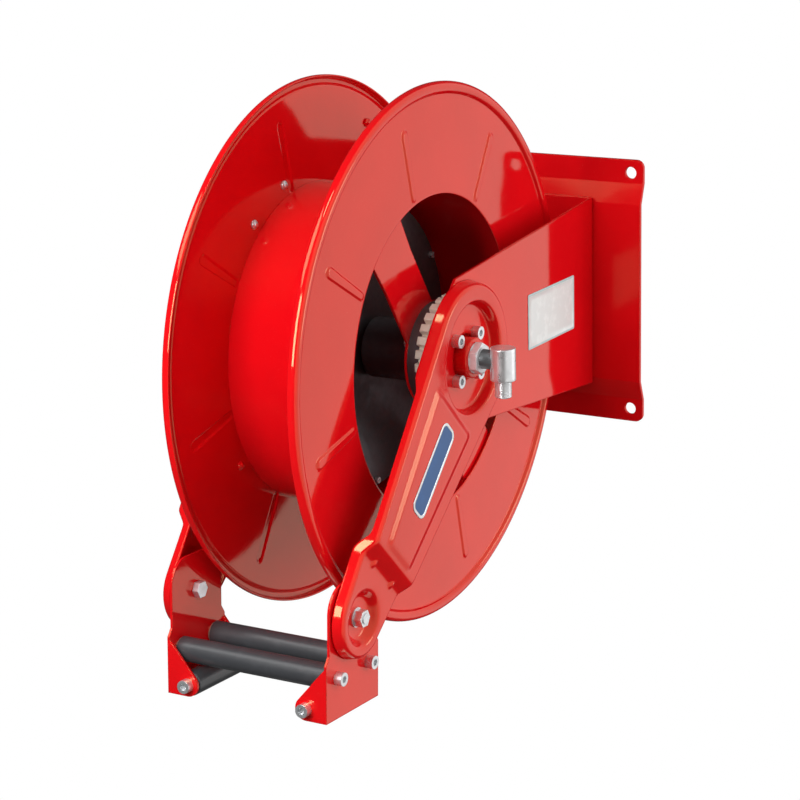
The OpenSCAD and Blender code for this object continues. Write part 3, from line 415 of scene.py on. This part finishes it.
def clamp_screws():
    """Screws in the clamp holes, all turned shapes: a low round head outside, a thin nut and the screw's end
    inside. The two upper ones are bright and the others painted."""
    head = [(0, -72.8), (3.2, -72.4), (5.0, -71.2), (5.4, -69.6), (3.3, -69.6)]
    nut = [(3.3, -67.45), (4.5, -67.45), (4.5, -65.9), (4.1, -65.5), (2.5, -65.4)]
    tip = [(2.5, -64.1), (2.0, -63.6), (0, -63.6)]
    patches = [turned(head + nut + tip, "X", (0, *about_hub(far, angle)), 24) for far, angle in CLAMP_HOLES]
    index = np.repeat([0, 0, 1, 1], len(patches[0][1]))
    make("clamp_screws", patches, [materials["zinc"], paint], "drum", 1e-6, (), index)


flange(1, "right_flange_sheet", "right_flange")
drill(flange(-1, "left_flange_sheet", "left_flange"), CLAMP_HOLES, CLAMP_HOLE_R)
clamp_screws()

# ---------------------------------------------------------------- outlet arms

HUB_R, PAD_R, ARM_LEN, ARM_TURN = 75.0, 40.5, 287.0, 225.1
HUB_BORE, PAD_BORE = 23.2, 5.4
FILLET, DRAFT, RIM_WIDE = 5.0, 14.0, 7.0
ARM_SHEET = 2.4
FACE, STEP, STEP_FROM, STEP_LONG = 112, 11, 228, 12
PANEL_HALF, PANEL_NARROWS = 46, 18
PANEL_FROM, PANEL_TO, PANEL_FLANK, PANEL_RISE = 60, 224, 7, 2
PANEL_TAIL = 45
DENT_U, DENT_V, DENT_WIDE, DENT_RISE = 240.5, 21.5, 2.6, 3.2
HUB_DISH_R, HUB_DISH_FLANK, HUB_DISH_DEEP = 55.3, 3.2, 11
PAD_DISH_R, PAD_DISH_FLANK, PAD_DISH_DEEP = 26.5, 6.0, 8.8
EDGE_HUB, EDGE_ARM, EDGE_DROP, EDGE_LONG = 98.6, 104, 13.9, 14
EDGE_RISES, EDGE_FALLS = 64, 222
LEAN = np.degrees(np.arccos((HUB_R - PAD_R) / ARM_LEN))


def arm_level(u, v):
    """Height of the outer face u mm along and v mm across the arm: a flat face that steps down towards the pad,
    a raised panel that narrows, two stiffening dents in the step's lower bend, and a dish round each bolt. The
    panel's soft tail ends short of the hub."""
    face = FACE - STEP * ramp((u - STEP_FROM) / STEP_LONG, 0.16)
    half = PANEL_HALF - PANEL_NARROWS * (u - PANEL_FROM) / (PANEL_TO - PANEL_FROM)
    panel = ramp((half - np.abs(v)) / PANEL_FLANK, 0.12)
    panel = panel * ramp((u - PANEL_FROM) / PANEL_FLANK, 0.12) * ramp((PANEL_TO - u) / PANEL_FLANK, 0.12)
    face = face + PANEL_RISE * panel * (u > PANEL_TAIL)
    dent = np.exp(-(((np.abs(v) - DENT_V) / DENT_WIDE) ** 2) - ((u - DENT_U) / DENT_WIDE) ** 2)
    face = face + DENT_RISE * dent
    face = face - HUB_DISH_DEEP * ramp((HUB_DISH_R - np.hypot(u, v)) / HUB_DISH_FLANK, 0.35)
    return face - PAD_DISH_DEEP * ramp((PAD_DISH_R - np.hypot(u - ARM_LEN, v)) / PAD_DISH_FLANK, 0.35)


def ring(centre, radius, angles):
    """Points (u, v) of a circle about centre on the arm's middle line, at angles in degrees."""
    t = np.radians(angles)
    return np.stack([centre + radius * np.cos(t), radius * np.sin(t)], axis=-1)


def outlet_arm(side, name, node):
    """Discs round the hub and the pivot, a ruled patch between them, and a rim that rolls over a fillet and then
    falls to the folded edge, leaning outwards by the draft. The discs' rings lie close together on the dishes'
    flanks. Solidify gives the sheet its thickness."""
    r1, r2 = HUB_R - RIM_WIDE, PAD_R - RIM_WIDE
    a = np.linspace(-1, 1, 111)
    hub_near, pad_near = a * LEAN, 180 - a * (180 - LEAN)
    hub_far = np.linspace(LEAN, 360 - LEAN, 170)
    pad_far = np.linspace(-LEAN, LEAN, 60)
    radii = np.concatenate([np.linspace(HUB_BORE, 49, 12), np.linspace(50.2, 57.8, 14), np.linspace(59.2, r1, 9)])
    angles = np.concatenate([hub_near, hub_far[1:-1]])
    disc = np.stack([ring(0, r, angles) for r in radii])
    radii = np.concatenate([np.linspace(PAD_BORE, 17.5, 7), np.linspace(18.3, 29.5, 17), np.linspace(30.3, r2, 4)])
    angles = np.concatenate([pad_near, pad_far[::-1][1:-1]])
    pad = np.stack([ring(ARM_LEN, r, angles) for r in radii])
    b = np.linspace(0, 1, 118)[:, None, None]
    web = (1 - b) * ring(0, r1, hub_near)[None] + b * ring(ARM_LEN, r2, pad_near)[None]

    hub_edge, pad_edge = ring(0, r1, hub_far), ring(ARM_LEN, r2, pad_far)
    outline = np.concatenate([hub_edge, web[1:-1, 0], pad_edge, web[-2:0:-1, -1]])
    straight = np.full(len(web) - 2, np.radians(LEAN))
    heading = np.concatenate([np.radians(hub_far), -straight, np.radians(pad_far), straight])
    normal = np.stack([np.cos(heading), np.sin(heading)], axis=-1)
    along = outline[:, 0]
    level = arm_level(along, outline[:, 1])
    edge = EDGE_HUB + (EDGE_ARM - EDGE_HUB) * ramp((along - EDGE_RISES) / EDGE_LONG, 0.2)
    edge = edge - EDGE_DROP * ramp((along - EDGE_FALLS) / EDGE_LONG, 0.2)
    roll = np.radians(np.linspace(0, 90 - DRAFT, 8))
    out = np.repeat(FILLET * np.sin(roll)[:, None], len(level), axis=1)
    rim_x = level[None] - FILLET * (1 - np.cos(roll))[:, None]
    fall = np.linspace(0, 1, 6)[1:, None] * (rim_x[-1:] - edge[None])
    rim_x = np.concatenate([rim_x, rim_x[-1:] - fall])
    out = np.concatenate([out, out[-1:] + fall * np.tan(radians(DRAFT))])
    rim_uv = outline[None] + out[..., None] * normal[None]

    def place(uv, x):
        """Turns (u, v) to the arm's slope about the hub, and mirrors the heights of the left arm."""
        c, s = cos(radians(ARM_TURN)), sin(radians(ARM_TURN))
        y, z = uv[..., 0] * c - uv[..., 1] * s + HUB_Y, uv[..., 0] * s + uv[..., 1] * c + HUB_Z
        return np.stack([side * x, y, z], axis=-1) * mm

    flat = lambda uv: place(uv, arm_level(uv[..., 0], uv[..., 1]))
    back = side < 0
    patches = [
        quads(flat(disc), wrap_cols=True, flip=not back),
        quads(flat(pad), wrap_cols=True, flip=back),
        quads(flat(web), flip=not back),
        quads(place(rim_uv, rim_x), wrap_cols=True, flip=not back),
    ]
    obj = make(name, patches, [paint_arm], "frame", merge=2e-5, replaced=(node,))
    work = bmesh.new()
    work.from_mesh(obj.data)
    bmesh.ops.recalc_face_normals(work, faces=work.faces)
    if sum(f.normal.x * f.calc_area() for f in work.faces) * side < 0:
        bmesh.ops.reverse_faces(work, faces=work.faces)
    work.to_mesh(obj.data)
    work.free()
    wall = obj.modifiers.new("sheet", "SOLIDIFY")
    wall.thickness = ARM_SHEET * mm
    wall.offset = -1.0


outlet_arm(1, "right_arm_pressing", "right_outlet_arm")
outlet_arm(-1, "left_arm_pressing", "left_outlet_arm")

# ---------------------------------------------------------------- badge and label

BADGE_SIZE, BADGE_LIFT, BADGE_ALONG = (48.5, 14, 9), 114, 126.5
BADGE_ROWS = [(14, 0.02), (0, 0.02), (0, 0.45), (0.15, 0.62), (0.5, 0.7), (2.6, 0.7)]
BADGE_ROWS += [(2.9, 0.6), (3.1, 0.45), (4, 0.5), (8, 0.66), (14, 0.7)]
LABEL_SIZE, LABEL_LIFT, LABEL_CENTRE = (53.5, 29, 2), 98.5, (-115, -2)
LABEL_ROWS = [(29, 0.02), (0, 0.02), (0, 0.4), (0.12, 0.52), (0.5, 0.55), (2.2, 0.55)]
LABEL_ROWS += [(2.25, 0.5), (8, 0.5), (29, 0.5)]


def rounded_loop(half_l, half_w, radius, inset, steps=9):
    """Closed loop of a rounded rectangle, moved inwards by inset, with the same number of points for every inset:
    a quarter circle about each of four centres."""
    r = max(radius - inset, 0.0)
    t = np.radians(np.concatenate([np.linspace(90 * k, 90 * k + 90, steps) for k in range(4)]))
    quadrant = np.repeat(np.arange(4), steps)
    cx = np.where((quadrant == 0) | (quadrant == 3), 1, -1) * (half_l - inset - r)
    cy = np.where(quadrant < 2, 1, -1) * (half_w - inset - r)
    return np.stack([cx + r * np.cos(t), cy + r * np.sin(t)], axis=-1)


def plate(name, size, rows, lift, turn, centre, finishes, node, split):
    """A thin plate, size = (half length, half width, corner radius), on a face that looks along +X at height lift.
    Each row is (inset, height) of a rounded loop, and rows from split on take the second finish. It closes in a
    line on its middle."""
    loops = np.stack([rounded_loop(*size, inset) for inset, _ in rows])
    x = np.repeat(np.array([[lift + h] for _, h in rows]), loops.shape[1], axis=1)
    t = radians(turn)
    y = centre[0] + loops[..., 0] * cos(t) - loops[..., 1] * sin(t)
    z = centre[1] + loops[..., 0] * sin(t) + loops[..., 1] * cos(t)
    index = np.repeat((np.arange(len(rows) - 1) >= split).astype(np.int32), loops.shape[1])
    patch = quads(np.stack([x, y, z], axis=-1) * mm, wrap_cols=True, flip=True)
    make(name, [patch], finishes, "frame", 1e-6, (node,), index)


plate("badge_plate", BADGE_SIZE, BADGE_ROWS, BADGE_LIFT, ARM_TURN, about_hub(BADGE_ALONG, ARM_TURN),
      [badge_border, materials["badge_blue"]], "badge", 7)
plate("label_sheet", LABEL_SIZE, LABEL_ROWS, LABEL_LIFT, 0, LABEL_CENTRE,
      [label_edge, materials["label_white"]], "label", 6)

# ---------------------------------------------------------------- inlet elbow

ELBOW_X = 143
BODY_R, BODY_TOP, BODY_BOTTOM, BODY_ROUND = 12.5, 13.5, -19, 1.2
THREAD_R, THREAD_END, THREAD_TOP, THREAD_PITCH, THREAD_DEEP = 8.33, -34.9, -19.4, 1.337, 0.42
BORE_R, NECK_R = 6, 9.6


def elbow():
    """The cast elbow: a domed upright body with a threaded end, and a round neck along X, all turned shapes."""
    bore = [(0, -10), (BORE_R, -10), (BORE_R, -35.6), (6.4, -36), (7.4, -36), (THREAD_R, -35)]
    stub = [(THREAD_R, z) for z in np.arange(THREAD_END, THREAD_TOP, 0.17)]
    shoulder = [(THREAD_R, -19.3), (8.6, BODY_BOTTOM), (11.7, BODY_BOTTOM), (12.3, -18.7), (BODY_R, -18.2)]
    side = [(BODY_R, z) for z in np.linspace(-16, 11, 8)]
    quarter = np.linspace(np.pi / 2, 0, 6)
    dome = [(BODY_R - BODY_ROUND * (1 - sin(t)), BODY_TOP - BODY_ROUND * (1 - cos(t))) for t in quarter]
    body = bore + stub + shoulder + side + dome + [(BORE_R, 13.6), (0, 13.6)]
    thread = (THREAD_END, THREAD_TOP, THREAD_PITCH, THREAD_DEEP)
    upright = turned(body, "Z", (ELBOW_X, HUB_Y, HUB_Z), thread=thread)
    make("inlet_elbow_body", [upright], [cast_zinc], "elbow", 1e-6, ("inlet_elbow",))
    neck = [(0, 100), (BORE_R, 100), (BORE_R, 98.8), (9.4, 98.8), (NECK_R, 99.2), (NECK_R, 140), (0, 140)]
    level = turned(neck, "X", (0, HUB_Y, HUB_Z))
    make("inlet_elbow_neck", [level], [shaded_zinc], "elbow", 1e-6)


elbow()

# ---------------------------------------------------------------- stage and light

ROOM_DIM, ROOM_WALL = 0.06, 1.3
ROOM_COLOUR = rgb(1.0, 0.98, 0.95)
WALL_RIGHT, WALL_REAR = (0.18, 0.42), (-0.75, -0.35)
WALL_LOW, WALL_HIGH = (-0.62, -0.40), (0.95, 0.75)
FLOOR_Z, FLOOR_R = -1.35, 0.55
FLOOR_WHITE, FLOOR_SHARE = 1.09, 0.86


def world():
    """White to the camera. To the object, a bright wall on the right, which is mirrored as the same white, and a
    dim room elsewhere. The wall is the product of four ramps over the direction: rightwards, backwards, above its
    lower edge and below its upper edge."""
    w = bpy.data.worlds.new("world")
    bpy.context.scene.world = w
    w.use_nodes = True
    tree = w.node_tree
    tree.nodes.clear()

    def add(kind, *values, operation=None):
        """The outputs of a new node whose first inputs get these values or links."""
        node = tree.nodes.new(kind)
        if operation:
            node.operation = operation
        for socket, value in zip(node.inputs, values):
            if isinstance(value, bpy.types.NodeSocket):
                tree.links.new(value, socket)
            else:
                socket.default_value = value
        return node.outputs

    place = add("ShaderNodeTexCoord")["Generated"]
    x, y, z = add("ShaderNodeSeparateXYZ", place)
    right = add("ShaderNodeMapRange", x, *WALL_RIGHT, 0.0, 1.0)[0]
    rear = add("ShaderNodeMapRange", y, *WALL_REAR, 0.0, 1.0)[0]
    low = add("ShaderNodeMapRange", z, *WALL_LOW, 0.0, 1.0)[0]
    high = add("ShaderNodeMapRange", z, *WALL_HIGH, 0.0, 1.0)[0]
    side = add("ShaderNodeMath", right, rear, operation="MULTIPLY")[0]
    level = add("ShaderNodeMath", low, high, operation="MULTIPLY")[0]
    wall = add("ShaderNodeMath", side, level, operation="MULTIPLY")[0]
    strength = add("ShaderNodeMapRange", wall, 0.0, 1.0, ROOM_DIM, ROOM_WALL)[0]
    room = add("ShaderNodeBackground", ROOM_COLOUR, strength)[0]
    seen = add("ShaderNodeBackground", rgb(1, 1, 1), 1.0)[0]
    rays = add("ShaderNodeLightPath")
    mirrored = add("ShaderNodeMath", rays["Is Glossy Ray"], wall, operation="MULTIPLY")[0]
    white = add("ShaderNodeMath", rays["Is Camera Ray"], rays["Is Transmission Ray"], operation="MAXIMUM")[0]
    white = add("ShaderNodeMath", white, mirrored, operation="MAXIMUM")[0]
    mix = add("ShaderNodeMixShader", white, room, seen)[0]
    add("ShaderNodeOutputWorld", mix)


def softbox(name, where, width, height, power):
    """A soft rectangular lamp that looks at the hub."""
    data = bpy.data.lights.new(name, "AREA")
    data.shape = "RECTANGLE"
    data.size, data.size_y = width, height
    data.energy = power
    obj = bpy.data.objects.new(name, data)
    bpy.context.scene.collection.objects.link(obj)
    obj.location = where
    obj.rotation_euler = (HUB - Vector(where)).to_track_quat("-Z", "Y").to_euler()


def floor():
    """A pale round floor. The camera, and what is mirrored or seen through glass, gets it nearly white, and a
    part of its own shading stays, with the shadow."""
    n = Nodes("pale_floor")
    rays = n.add("ShaderNodeLightPath").outputs
    seen = n.math("MAXIMUM", rays["Is Camera Ray"], rays["Is Transmission Ray"])
    seen = n.math("MAXIMUM", seen, rays["Is Glossy Ray"])
    share = n.math("MULTIPLY", seen, FLOOR_SHARE)
    plain = n.add("ShaderNodeBsdfDiffuse", {"Color": rgb(0.86, 0.86, 0.85)}).outputs[0]
    white = n.add("ShaderNodeEmission", {"Color": rgb(1, 1, 1), "Strength": FLOOR_WHITE}).outputs[0]
    mix = n.add("ShaderNodeMixShader", {0: share, 1: plain, 2: white}).outputs[0]
    n.put(n.tree.nodes["Material Output"].inputs[0], mix)
    around = np.radians(np.arange(0, 360, 5.0))
    across, along = FLOOR_R * np.cos(around), FLOOR_R * np.sin(around) + HUB.y
    rim = np.stack([across, along, np.full(len(around), FLOOR_Z)], 1)
    mesh = bpy.data.meshes.new("floor")
    mesh.from_pydata(rim.tolist(), [], [list(range(len(rim)))])
    mesh.materials.append(n.mat)
    obj = bpy.data.objects.new("floor", mesh)
    bpy.context.scene.collection.objects.link(obj)


world()
floor()
softbox("key", (-0.05, -1.60, 0.42), 0.6, 0.6, 15)
softbox("side", HUB + Vector((2.05, 1.43, 0.0)), 0.7, 0.9, 7)
softbox("top", HUB + Vector((-0.13, -0.86, 2.02)), 0.4, 0.4, 6)
softbox("accent", (-1.45, -1.91, 2.07), 1.3, 1.3, 24)
bpy.context.scene.view_settings.view_transform = "Standard"
